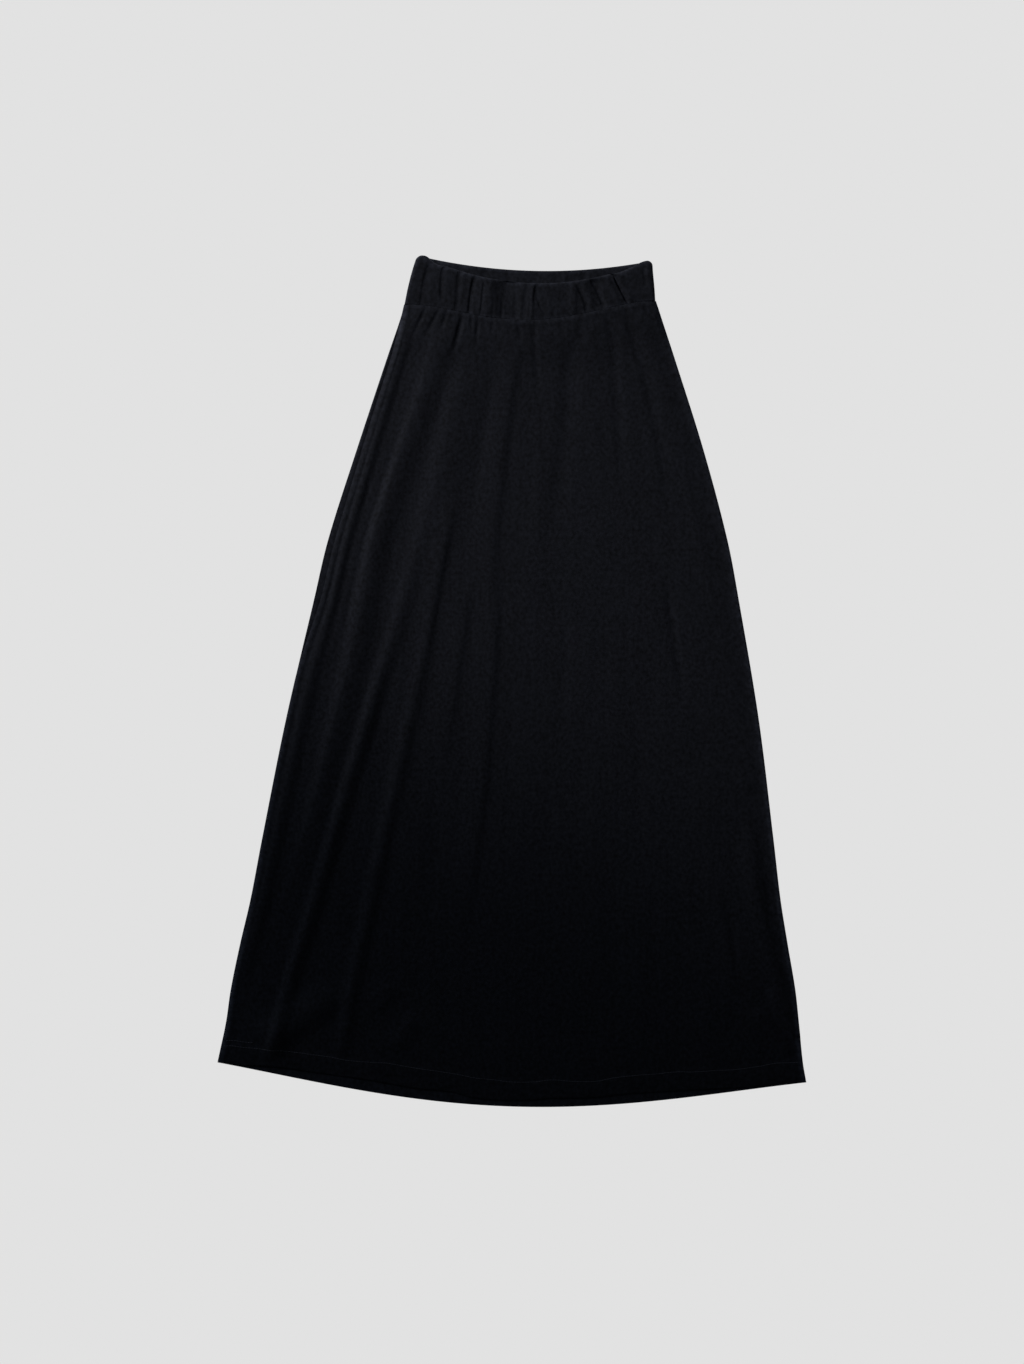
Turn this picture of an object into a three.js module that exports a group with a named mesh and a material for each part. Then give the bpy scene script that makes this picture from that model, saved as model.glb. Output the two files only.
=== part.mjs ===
// A long black jersey skirt with a gathered elastic waistband, laid flat with its front side up.
// Millimetres. X runs across the skirt, Y from the hem to the waist, Z up from the surface it lies on.
//
// The four sewn pieces lie on each other: the back panel and the back of the waistband rest on the
// surface, and the front panel and the front of the waistband lie on them. A place on a panel is given
// by `across`, from -1 at the left side seam to 1 at the right one, and by `down`, the distance below
// the waist seam. A place on the waistband is given by `across` and by `depth`, from 0 at its top edge
// to 1 at the waist seam. Pieces that are sewn together stand a small gap apart.

import * as THREE from "three";

// Driving dimensions
const JERSEY_WALL = 1.2;
const CASING_WALL = 3.2;
const SEAM_GAP = 0.3;
const PANEL_LENGTH = 924;
const HEM_DEPTH = 21;
const HEM_STEP = 3;

// Heights of the pieces' edges at the two side seams, measured from the waist seam's level, and how
// far each edge sags between them
const WAIST_TOP = { left: 55.4, right: 49.4 };
const SEAM_ENDS = { left: -2.4, right: 1.8 };
const HEM_ENDS = { left: -912, right: -936 };
const FRONT_TOP_SAG = 29.3;
const BACK_TOP_SAG = 13.8;
const FRONT_SEAM_SAG = 21;
const BACK_SEAM_SAG = 6;
const HEM_SAG = 26.5;
const HEM_BELLY = 14.5;
const HEM_SKEW = 0.8;
const FRONT_HEM_LIFT = 12;
const HEM_LIFT_MARGIN = { start: 0.05, end: 0.45 };

// How the front panel lies over the back one
const LOFT = 0.9;
const LOFT_MARGIN = 0.16;
const SEAM_LIFT = 1.6;
const SEAM_LIFT_LENGTH = 60;
const HEM_LIFT_START = 52;
const HEM_LIFT_END = 34;

// Rounded corners and edges
const BAND_CORNER = 6;
const BAND_ROUND = 3;
const BAND_EDGE_WALL = 0.6;
const CUT_EDGE_ROUND = 1.6;
const SEAM_DITCH = 0.5;
const SEAM_DITCH_WIDTH = 3;

// Half widths of the skirt to the left and right of its middle line, below the waist seam's level
const SIDE_EDGES = table(
  ["down", "left", "right"],
  [-5, 127.9, 171.6],
  [15, 132.8, 178.4],
  [68, 150.7, 195.8],
  [176, 186.5, 229.8],
  [284, 220.8, 258.5],
  [356, 237.8, 272.2],
  [500, 271.4, 296.3],
  [644, 300.2, 314.0],
  [716, 313.9, 322.4],
  [770, 326.5, 331.0],
  [824, 337.6, 340.1],
  [865, 343.6, 344.6],
  [912, 353.5, 349.2],
  [936, 357.5, 353.3],
);

// The waistband's side edges
const BAND_EDGES = table(
  ["depth", "left", "right"],
  [0, 113.8, 168.2],
  [0.3, 119.5, 169.2],
  [0.65, 124.8, 170.8],
  [1, 129.0, 171.9],
);

// Folds of the front panel: crests with a positive height, troughs with a negative one. `top`, `middle`
// and `end` are where the crest lies across the panel on its way down, `left` and `right` how far its
// flanks reach, and `grow` and `fade` the lengths over which it rises at its start and dies out.
const FOLDS = table(
  ["from", "to", "top", "middle", "end", "height", "left", "right", "grow", "fade"],
  [5, 880, -0.95, -0.944, -0.98, 2.4, 13, 15, 60, 130],
  [5, 450, -0.66, -0.765, -0.80, 4.0, 11, 31, 220, 190],
  [5, 230, -0.61, -0.70, -0.765, 2.6, 20, 28, 40, 170],
  [240, 740, -0.75, -0.79, -0.865, 3.4, 15, 22, 190, 300],
  [10, 450, -0.43, -0.52, -0.60, 2.8, 19, 46, 90, 200],
  [230, 930, -0.545, -0.712, -0.855, 3.7, 12, 19, 200, 30],
  [210, 925, -0.38, -0.518, -0.607, 2.9, 12, 13, 190, 60],
  [290, 570, -0.28, -0.31, -0.325, 1.0, 32, 12, 90, 110],
  [540, 730, -0.375, -0.386, -0.383, 0.8, 26, 12, 70, 80],
  [0, 745, -0.11, -0.158, -0.19, 2.0, 46, 12, 0, 200],
  [305, 485, 0.675, 0.68, 0.70, -1.1, 9, 9, 50, 60],
  [650, 850, 0.765, 0.785, 0.79, 0.8, 26, 8, 60, 60],
  [590, 870, 0.905, 0.893, 0.965, 2.7, 20, 13, 90, 50],
  [0, 250, 0.635, 0.545, 0.52, -1.5, 10, 9, 0, 120],
  [0, 290, 0.75, 0.76, 0.70, -1.3, 9, 10, 0, 130],
  [10, 290, 0.345, 0.20, 0.13, -1.1, 17, 20, 30, 130],
  [0, 115, 0.02, 0.042, 0.06, -0.7, 6, 6, 10, 60],
);

// Folds that cross the others near the hem, from the two ends of each crest in the outline's own
// millimetres. `above` and `below` are their reach towards the waist and towards the hem, and `fade`
// is the length over which both ends die out.
const CROSS_FOLDS = table(
  ["startX", "startY", "endX", "endY", "height", "above", "below", "fade"],
  [-204, -824, -304, -894, 3.9, 34, 27, 24],
  [-112, -826, -160, -892, -2.6, 14, 7, 20],
  [306, -822, 346, -886, 1.6, 8, 9, 14],
  [294, -850, 338, -905, 1.5, 8, 9, 14],
);

// Small gathers where the front panel is sewn to the waistband. They keep their depth over the first
// part of their length, their hold, and then run out.
const SEAM_GATHERS = table(
  ["length", "top", "end", "depth", "width"],
  [46, -0.82, -0.886, 1.3, 5],
  [40, -0.714, -0.792, 1.2, 5],
  [32, -0.655, -0.684, 1.2, 5],
  [52, -0.536, -0.566, 1.8, 5],
  [24, -0.461, -0.458, 1.0, 5],
  [40, -0.411, -0.404, 1.2, 5],
  [24, -0.29, -0.3, 0.7, 5],
  [20, -0.16, -0.162, 0.5, 5],
  [34, -0.1, -0.062, 1.0, 5],
  [34, 0.246, 0.254, 0.7, 6],
  [40, 0.4, 0.366, 0.9, 6],
  [46, 0.6, 0.584, 1.0, 6],
  [52, 0.744, 0.74, 1.1, 7],
);
const SEAM_GATHER_HOLD = 0.3;

// Gathers of the waistband's front: troughs with a positive dip, raised pleats with a negative one.
// `from` and `to` are depths, and outside 0 to 1 they let a gather run out over an edge. `left` and
// `right` are how far its two sides reach.
const BAND_GATHERS = table(
  ["top", "middle", "end", "from", "to", "dip", "left", "right"],
  [-0.905, -0.897, -0.893, -0.2, 0.8, 0.9, 4, 16],
  [-0.79, -0.745, -0.71, -0.2, 0.9, 0.8, 3.5, 5],
  [-0.67, -0.622, -0.59, -0.2, 1.2, 0.9, 4, 6],
  [-0.53, -0.513, -0.50, 0.3, 1.2, 1.4, 3.5, 3.5],
  [-0.43, -0.407, -0.385, 0.05, 1.3, 1.6, 3.5, 3.5],
  [-0.245, -0.205, -0.165, -0.2, 1.3, 2.6, 19, 15],
  [-0.08, -0.068, -0.05, -0.1, 0.9, 1.0, 5, 3.5],
  [-0.022, -0.01, 0.005, -0.2, 1.2, -0.9, 3.5, 3.5],
  [0.02, 0.045, 0.135, 0.15, 1.2, 1.2, 3.5, 3.5],
  [0.325, 0.398, 0.435, -0.2, 1.15, 1.6, 4.2, 4],
  [0.50, 0.53, 0.56, -0.1, 1.2, 1.7, 15, 9],
  [0.61, 0.635, 0.65, 0.1, 1.1, -0.6, 4, 4],
  [0.663, 0.725, 0.775, -0.2, 1.2, 2.3, 3.5, 3.5],
  [0.70, 0.765, 0.815, -0.2, 1.1, -0.9, 3.5, 6],
  [0.93, 0.93, 0.93, -0.1, 0.7, 0.6, 4, 4],
);
const BAND_GATHER_FADE = 0.25;

// Ripples of the waistband's back, seen inside above the front's top edge
const BACK_RIPPLES = { first: -0.84, step: 0.21, count: 9, dip: 0.5, width: 9 };

// Small rises and dips of the front band's top edge, where its fold puffs out at the side seams
const TOP_EDGE_WAVES = table(
  ["at", "reach", "rise"],
  [-0.96, 0.08, 2.4],
  [-0.87, 0.1, -2.0],
  [0.75, 0.12, -1.2],
  [0.95, 0.1, 1.8],
);

// The same along the front panel's hem
const FRONT_HEM_WAVES = table(
  ["at", "reach", "rise"],
  [-0.4, 0.2, 1.5],
  [-0.03, 0.18, -4],
  [0.26, 0.12, -1.5],
);

// Mesh densities. A panel's columns lean to the left going down, as the folds of its left half do.
const FRONT_CELLS = { left: 42, right: 18, rows: 26 };
const BACK_CELLS = { left: 11, right: 11, rows: 16 };
const BAND_FRONT_CELLS = { columns: 104, depths: [0, 0.012, 0.035, 0.22, 0.42, 0.62, 0.8, 0.94, 1] };
const BAND_BACK_CELLS = { columns: 44, depths: [0, 0.012, 0.035, 0.4, 0.94, 1] };
const COLUMN_LEAN = { at: -0.6, reach: 0.4, shift: 0.26 };
const ROW_EASING = 0.11;
const SIDE_COLUMN = 0.006;
const BAND_END_COLUMNS = [0, 0.004, 0.011, 0.022];

const BLACK_JERSEY = { color: 0x131418, roughness: 0.9, metalness: 0 };

// A short table: the names of its columns, then one row for each section, fold or gather.
function table(columns, ...rows) {
  return rows.map((row) => Object.fromEntries(columns.map((name, index) => [name, row[index]])));
}

function mix(a, b, share) {
  return a + (b - a) * share;
}

// A soft step from 0 at `from` to 1 at `to`.
function smooth(from, to, value) {
  const share = Math.min(Math.max((value - from) / (to - from), 0), 1);
  return share * share * (3 - 2 * share);
}

// A soft rounded ridge, 1 at its crest and 0 from `reach` on.
function ridge(distance, reach) {
  const share = Math.min(Math.abs(distance) / reach, 1);
  return Math.cos((share * Math.PI) / 2) ** 2;
}

// The place of a crest that passes through three points, at `along` from 0 to 1.
function throughThree({ top, middle, end }, along) {
  const first = 2 * (along - 0.5) * (along - 1) * top;
  const second = 4 * along * (1 - along) * middle;
  const third = 2 * along * (along - 0.5) * end;
  return first + second + third;
}

// A smooth curve through one column of a table, read at `value` of its `key` column.
function readTable(rows, key, column, value) {
  let next = 1;
  while (next < rows.length - 1 && value > rows[next][key]) next += 1;
  const slopeAt = (index) => {
    const before = rows[Math.max(index - 1, 0)];
    const after = rows[Math.min(index + 1, rows.length - 1)];
    return (after[column] - before[column]) / (after[key] - before[key]);
  };
  const start = rows[next - 1];
  const end = rows[next];
  const span = end[key] - start[key];
  const share = (value - start[key]) / span;
  const rise = end[column] - start[column];
  const early = slopeAt(next - 1) * span - rise;
  const late = rise - slopeAt(next) * span;
  const bend = share * (1 - share) * (early * (1 - share) + late * share);
  return start[column] + rise * share + bend;
}

// 1 in the middle of a piece and 0 at its side seams
function crown(across) {
  return 1 - across * across;
}

function edgeWaves(waves, across) {
  return waves.reduce((sum, wave) => sum + wave.rise * ridge(across - wave.at, wave.reach), 0);
}

function betweenSides({ left, right }, across) {
  return mix(left, right, (across + 1) / 2);
}

function seamLine(across, sag) {
  return betweenSides(SEAM_ENDS, across) - sag * crown(across) ** 2;
}

// How far the hem's edge hangs below the line between its two corners
function hemDip(across) {
  return crown(across) * (HEM_SAG + HEM_BELLY * crown(across) - HEM_SKEW * across);
}

// The front panel's hem stops a little above the back's, apart from near the side seams.
function frontHemLift(across) {
  const inside = smooth(HEM_LIFT_MARGIN.start, HEM_LIFT_MARGIN.end, 1 - Math.abs(across));
  return inside * (FRONT_HEM_LIFT + edgeWaves(FRONT_HEM_WAVES, across));
}

// A point of a panel in plan. Its rows go from the waist seam to the hem, and each sags in the middle.
function panelPlan(across, down, seamSag, hemLift) {
  const share = down / PANEL_LENGTH;
  const heights = {
    left: mix(SEAM_ENDS.left, HEM_ENDS.left, share),
    right: mix(SEAM_ENDS.right, HEM_ENDS.right, share),
  };
  const sides = {
    left: -readTable(SIDE_EDGES, "down", "left", -heights.left),
    right: readTable(SIDE_EDGES, "down", "right", -heights.right),
  };
  const dip = mix(seamSag * crown(across) ** 2, hemDip(across) - hemLift(across), share);
  return {
    x: betweenSides(sides, across),
    y: betweenSides(heights, across) - dip,
    half: (sides.right - sides.left) / 2,
  };
}

// The relief of the folds that cross the others
function crossFoldHeight(place) {
  let height = 0;
  for (const fold of CROSS_FOLDS) {
    const length = Math.hypot(fold.endX - fold.startX, fold.endY - fold.startY);
    const runX = (fold.endX - fold.startX) / length;
    const runY = (fold.endY - fold.startY) / length;
    const along = (place.x - fold.startX) * runX + (place.y - fold.startY) * runY;
    const aside = (place.x - fold.startX) * runY - (place.y - fold.startY) * runX;
    const reach = Math.sign(runX) * aside < 0 ? fold.above : fold.below;
    height += fold.height * ridge(aside, reach) * smooth(0, fold.fade, Math.min(along, length - along));
  }
  return height;
}

// The relief of the folds and gathers above the front panel's resting height
function foldHeight(across, down, half) {
  let height = 0;
  for (const fold of FOLDS) {
    const along = (down - fold.from) / (fold.to - fold.from);
    if (along < 0 || along > 1) continue;
    const distance = (across - throughThree(fold, along)) * half;
    const flank = ridge(distance, distance < 0 ? fold.left : fold.right);
    const growing = fold.grow > 0 ? smooth(0, fold.grow, down - fold.from) : 1;
    height += fold.height * flank * growing * smooth(0, fold.fade, fold.to - down);
  }
  for (const gather of SEAM_GATHERS) {
    const along = Math.min(down / gather.length, 1);
    const distance = (across - mix(gather.top, gather.end, along)) * half;
    height -= gather.depth * (1 - smooth(SEAM_GATHER_HOLD, 1, along)) * ridge(distance, gather.width);
  }
  return height;
}

// The front panel's lower face: clear of the back panel, raised at the waist seam and over the hem
function frontRest(across, down, place) {
  const aboveHem = PANEL_LENGTH - down;
  const overHem = JERSEY_WALL * (1 - smooth(HEM_LIFT_END, HEM_LIFT_START, aboveHem));
  const atSeam = SEAM_LIFT * (1 - smooth(0, SEAM_LIFT_LENGTH, down));
  const insideSides = smooth(0, LOFT_MARGIN, 1 - Math.abs(across));
  const loft = LOFT * insideSides * smooth(0, HEM_LIFT_START, aboveHem);
  const folds = foldHeight(across, down, place.half) + crossFoldHeight(place);
  const relief = Math.max(atSeam + loft + folds, 0);
  return JERSEY_WALL + SEAM_GAP + overHem + relief;
}

// The wall of a panel: one layer, or two in the turned-up hem, with its edges rounded
function panelWall(across, down, half) {
  const aboveHem = PANEL_LENGTH - down;
  const turnUp = 1 - smooth(HEM_DEPTH - HEM_STEP, HEM_DEPTH, aboveHem);
  const fromEdge = Math.min((1 - Math.abs(across)) * half, aboveHem);
  const full = mix(0.5, 1, smooth(0, CUT_EDGE_ROUND, fromEdge));
  const ditch = SEAM_DITCH * (1 - smooth(0, SEAM_DITCH_WIDTH, down));
  return full * (JERSEY_WALL * (1 + turnUp) - ditch);
}

// A closed body from a grid of lower points and the thickness above each
function makeSheet(columns, rows, lowerPoint, wallAt) {
  const positions = [];
  const upper = [];
  for (const row of rows) {
    for (const column of columns) {
      const point = lowerPoint(column, row);
      positions.push(point.x, point.y, point.z);
      upper.push(point.x, point.y, point.z + wallAt(column, row));
    }
  }
  positions.push(...upper);
  const width = columns.length;
  const layer = width * rows.length;
  const indices = [];
  const quad = (a, b, c, d) => indices.push(a, b, c, a, c, d);
  for (let row = 0; row + 1 < rows.length; row += 1) {
    for (let column = 0; column + 1 < width; column += 1) {
      const corner = row * width + column;
      const over = corner + layer;
      quad(corner, corner + 1, corner + width + 1, corner + width);
      quad(over, over + width, over + width + 1, over + 1);
    }
  }
  const rim = [];
  for (let column = 0; column < width; column += 1) rim.push(column);
  for (let row = 1; row < rows.length; row += 1) rim.push(row * width + width - 1);
  for (let column = width - 2; column >= 0; column -= 1) rim.push(layer - width + column);
  for (let row = rows.length - 2; row > 0; row -= 1) rim.push(row * width);
  rim.forEach((from, place) => {
    const to = rim[(place + 1) % rim.length];
    quad(from, from + layer, to + layer, to);
  });
  const geometry = new THREE.BufferGeometry();
  geometry.setAttribute("position", new THREE.Float32BufferAttribute(positions, 3));
  geometry.setIndex(indices);
  geometry.computeVertexNormals();
  return geometry;
}

// The rows of a panel: closer ones near the waist seam and the hem, and the hem's own rows
function panelRows(count) {
  const hemStart = PANEL_LENGTH - HEM_DEPTH;
  const rows = [0];
  for (let step = 0; step <= count; step += 1) {
    const share = step / count;
    rows.push(mix(SEAM_DITCH_WIDTH, hemStart, share - ROW_EASING * Math.sin(2 * Math.PI * share)));
  }
  const hemMiddle = PANEL_LENGTH - HEM_DEPTH / 2;
  rows.push(hemStart + HEM_STEP, hemMiddle, PANEL_LENGTH - CUT_EDGE_ROUND, PANEL_LENGTH);
  return rows;
}

// The columns of a panel: closer ones in its left half, where most of the folds are
function panelColumns({ left, right }) {
  const reach = 1 - SIDE_COLUMN;
  const columns = [-1];
  for (let step = 0; step < left; step += 1) columns.push(-reach * (1 - step / left));
  for (let step = 0; step <= right; step += 1) columns.push((reach * step) / right);
  columns.push(1);
  return columns;
}

function leanAcross(column, down) {
  const lean = COLUMN_LEAN.shift * ridge(column - COLUMN_LEAN.at, COLUMN_LEAN.reach);
  return column - (lean * down) / PANEL_LENGTH;
}

// One panel, from its sag at the waist seam, its hem and the height of its lower face
function makePanel(cells, seamSag, hemLift, restAt) {
  const lowerPoint = (column, down) => {
    const across = leanAcross(column, down);
    const place = panelPlan(across, down, seamSag, hemLift);
    const seamShift = down === 0 ? SEAM_GAP / 2 : 0;
    return { x: place.x, y: place.y - seamShift, z: restAt(across, down, place) };
  };
  const wallAt = (column, down) => {
    const across = leanAcross(column, down);
    return panelWall(across, down, panelPlan(across, down, seamSag, hemLift).half);
  };
  return makeSheet(panelColumns(cells), panelRows(cells.rows), lowerPoint, wallAt);
}

// A point of the waistband in plan
function bandPlan(across, depth, topSag, seamSag, waves) {
  const top = betweenSides(WAIST_TOP, across) - topSag * crown(across) + edgeWaves(waves, across);
  const bottom = seamLine(across, seamSag) + SEAM_GAP / 2;
  const fromTop = depth * (top - bottom);
  const inCorner = Math.max(BAND_CORNER - fromTop, 0);
  const inset = BAND_CORNER - Math.sqrt(BAND_CORNER ** 2 - inCorner ** 2);
  const sides = {
    left: inset - readTable(BAND_EDGES, "depth", "left", depth),
    right: readTable(BAND_EDGES, "depth", "right", depth) - inset,
  };
  return {
    x: betweenSides(sides, across),
    y: top - fromTop,
    half: (sides.right - sides.left) / 2,
    fromTop,
    toSeam: top - bottom - fromTop,
  };
}

function bandGathers(across, depth, half) {
  let relief = 0;
  for (const gather of BAND_GATHERS) {
    const distance = (across - throughThree(gather, depth)) * half;
    const grown = smooth(0, BAND_GATHER_FADE, depth - gather.from);
    const kept = smooth(0, BAND_GATHER_FADE, gather.to - depth);
    relief -= gather.dip * grown * kept * ridge(distance, distance < 0 ? gather.left : gather.right);
  }
  return relief;
}

function backRipples(across, depth, half) {
  let relief = 0;
  for (let index = 0; index < BACK_RIPPLES.count; index += 1) {
    const distance = (across - BACK_RIPPLES.first - index * BACK_RIPPLES.step) * half;
    relief -= BACK_RIPPLES.dip * ridge(distance, BACK_RIPPLES.width);
  }
  return relief;
}

// How full the casing is near an edge where it is folded over
function roundedEdge(fromEdge, reach) {
  const share = 1 - Math.min(fromEdge / reach, 1);
  return Math.sqrt(1 - share * share);
}

// One side of the waistband: elastic in a casing, with rounded ends where the band is folded flat
function makeBand(cells, base, topSag, seamSag, waves, reliefAt) {
  const lowerPoint = (across, depth) => ({ ...bandPlan(across, depth, topSag, seamSag, waves), z: base });
  const wallAt = (across, depth) => {
    const place = bandPlan(across, depth, topSag, seamSag, waves);
    const fromSide = (1 - Math.abs(across)) * place.half;
    const full = roundedEdge(fromSide, BAND_ROUND) * roundedEdge(place.fromTop, BAND_ROUND / 2);
    const relief = reliefAt(across, depth, place.half) * smooth(0, BAND_CORNER, fromSide);
    const ditch = SEAM_DITCH * (1 - smooth(0, SEAM_DITCH_WIDTH, place.toSeam));
    return mix(BAND_EDGE_WALL, CASING_WALL + relief - ditch, full);
  };
  const columns = BAND_END_COLUMNS.map((step) => step - 1);
  const reach = -columns[columns.length - 1];
  for (let step = 1; step < cells.columns; step += 1) columns.push(reach * ((2 * step) / cells.columns - 1));
  columns.push(...BAND_END_COLUMNS.map((step) => 1 - step).reverse());
  return makeSheet(columns, cells.depths, lowerPoint, wallAt);
}

function makeFrontPanel() {
  return makePanel(FRONT_CELLS, FRONT_SEAM_SAG, frontHemLift, frontRest);
}

function makeBackPanel() {
  const level = () => 0;
  return makePanel(BACK_CELLS, BACK_SEAM_SAG, level, level);
}

function makeFrontBand() {
  const base = CASING_WALL + SEAM_GAP;
  return makeBand(BAND_FRONT_CELLS, base, FRONT_TOP_SAG, FRONT_SEAM_SAG, TOP_EDGE_WAVES, bandGathers);
}

function makeBackBand() {
  return makeBand(BAND_BACK_CELLS, 0, BACK_TOP_SAG, BACK_SEAM_SAG, [], backRipples);
}

function addPiece(group, name, geometry) {
  const piece = new THREE.Mesh(geometry, new THREE.MeshStandardMaterial(BLACK_JERSEY));
  piece.name = name;
  group.add(piece);
}

const skirt = new THREE.Group();
addPiece(skirt, "skirt_back", makeBackPanel());
addPiece(skirt, "skirt_front", makeFrontPanel());
addPiece(skirt, "waistband_back", makeBackBand());
addPiece(skirt, "waistband_front", makeFrontBand());

// The origin is the middle of the underside.
const extent = new THREE.Box3().setFromObject(skirt);
const centre = extent.getCenter(new THREE.Vector3());
skirt.position.set(-centre.x, -centre.y, -extent.min.z);

export default skirt;
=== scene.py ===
"""A long black jersey skirt with a gathered elastic waistband, laid flat and seen from above.

Lengths in the tables and in the cloth's own functions are millimetres, as in the part's source, and
they become metres where a mesh is made. `across` goes from -1 at the left side seam to 1 at the right
one, `down` is the distance below the waist seam, and `depth` goes from 0 at the waistband's top edge
to 1 at the waist seam.
"""

import math

import bpy
import numpy as np
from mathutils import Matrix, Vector
from mathutils.bvhtree import BVHTree


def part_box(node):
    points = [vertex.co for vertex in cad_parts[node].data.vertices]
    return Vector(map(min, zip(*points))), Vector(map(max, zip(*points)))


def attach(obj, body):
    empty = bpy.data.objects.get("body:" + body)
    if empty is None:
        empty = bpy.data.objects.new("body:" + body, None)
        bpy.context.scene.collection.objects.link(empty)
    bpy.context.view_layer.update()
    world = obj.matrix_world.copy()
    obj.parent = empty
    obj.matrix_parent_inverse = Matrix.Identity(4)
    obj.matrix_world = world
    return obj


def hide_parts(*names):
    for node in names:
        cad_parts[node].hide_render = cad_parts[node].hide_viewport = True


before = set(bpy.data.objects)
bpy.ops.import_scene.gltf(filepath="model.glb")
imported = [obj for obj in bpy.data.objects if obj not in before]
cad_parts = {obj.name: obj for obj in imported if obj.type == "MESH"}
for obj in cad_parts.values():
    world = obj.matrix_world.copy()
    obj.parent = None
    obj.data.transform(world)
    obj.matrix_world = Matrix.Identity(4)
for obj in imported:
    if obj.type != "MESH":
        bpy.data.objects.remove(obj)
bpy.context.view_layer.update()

MM = 0.001

# Thicknesses of the cloth, and the gap between two layers
JERSEY_WALL = 0.9
HEM_WALL = 1.5
CASING_WALL = 3.2
LAYER_GAP = 0.25

# The outline: heights of the left and right ends of the waistband's top, the waist seam and the hem,
# how far these lines sag between their ends, and the radius of the waistband's corners
PANEL_LENGTH = 924.0
HEM_DEPTH = 21.0
WAIST_TOP = (55.4, 49.4)
SEAM_ENDS = (-2.4, 1.8)
HEM_ENDS = (-912.0, -936.0)
FRONT_TOP_SAG = 29.3
BACK_TOP_SAG = 13.8
FRONT_SEAM_SAG = 21.0
BACK_SEAM_SAG = 6.0
HEM_SAG = 26.5
HEM_BELLY = 14.5
HEM_SKEW = 0.8
BAND_CORNER = 6.0

# How far above the seam's line the waistband ends and the panels begin
SEAM_JOIN = 0.1

# Half widths to the left and right of the skirt's middle line, below the waist seam and down the
# waistband
SIDE_EDGES = {
    "down": (-5, 15, 68, 176, 284, 356, 500, 644, 716, 770, 824, 865, 912, 936),
    "left": (
        127.9, 132.8, 150.7, 186.5, 220.8, 237.8, 271.4, 300.2, 313.9, 326.5, 337.6, 343.6, 353.5, 357.5
    ),
    "right": (
        171.6, 178.4, 195.8, 229.8, 258.5, 272.2, 296.3, 314.0, 322.4, 331.0, 340.1, 344.6, 349.2, 353.3
    ),
}
BAND_EDGES = {
    "depth": (0, 0.3, 0.65, 1),
    "left": (113.8, 119.5, 124.8, 129.0),
    "right": (168.2, 169.2, 170.8, 171.9),
}

# Folds of the front panel: where each starts and ends, where its crest lies across the panel at its
# top, middle and end, its height, how far its flanks reach, and how it grows and fades
FOLDS = (
    # from, to, top, middle, end, height, left, right, grow, fade
    (5, 880, -0.942, -0.934, -0.976, 2.4, 12, 15, 60, 130),
    (5, 450, -0.66, -0.765, -0.80, 4.0, 11, 31, 260, 190),
    (5, 230, -0.61, -0.70, -0.765, 1.9, 25, 28, 40, 170),
    (240, 780, -0.748, -0.795, -0.88, 3.4, 15, 27, 190, 270),
    (10, 450, -0.43, -0.52, -0.60, 2.4, 22, 46, 90, 200),
    (230, 930, -0.524, -0.704, -0.84, 3.7, 11, 18, 300, 30),
    (210, 925, -0.37, -0.513, -0.598, 3.2, 13, 15, 480, 60),
    (210, 510, -0.405, -0.449, -0.488, 1.9, 22, 10, 80, 190),
    (290, 570, -0.28, -0.31, -0.325, 1.4, 32, 10, 90, 110),
    (540, 730, -0.375, -0.386, -0.383, 0.8, 26, 12, 70, 80),
    (15, 400, -0.103, -0.184, -0.163, 1.45, 28, 13, 60, 150),
    (250, 745, -0.167, -0.156, -0.205, 1.45, 28, 12, 150, 120),
    (305, 485, 0.675, 0.68, 0.70, -1.1, 9, 9, 50, 60),
    (650, 850, 0.765, 0.785, 0.79, 0.8, 26, 8, 60, 60),
    (590, 885, 0.925, 0.923, 0.984, 2.1, 22, 12, 110, 50),
    (10, 250, 0.635, 0.545, 0.52, -0.8, 10, 12, 30, 120),
    (10, 290, 0.75, 0.76, 0.70, -0.9, 9, 13, 30, 130),
    (10, 290, 0.345, 0.20, 0.13, -1.1, 17, 20, 30, 130),
    (0, 115, 0.02, 0.042, 0.06, -0.7, 6, 6, 10, 60),
)

# Folds that cross the others near the hem, in the outline's own millimetres: the ends of the crest,
# its height, its reach towards the waist and towards the hem, and how far its ends fade
CROSS_FOLDS = (
    (-204, -824, -304, -894, 3.9, 34, 27, 24),
    (-137, -815, -171, -852, 1.7, 28, 17, 14),
    (-113, -849, -147, -897, 1.9, 10, 26, 16),
    (306, -822, 346, -886, 2.2, 9, 9, 14),
    (290, -846, 338, -905, 2.1, 9, 9, 14),
)

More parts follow.
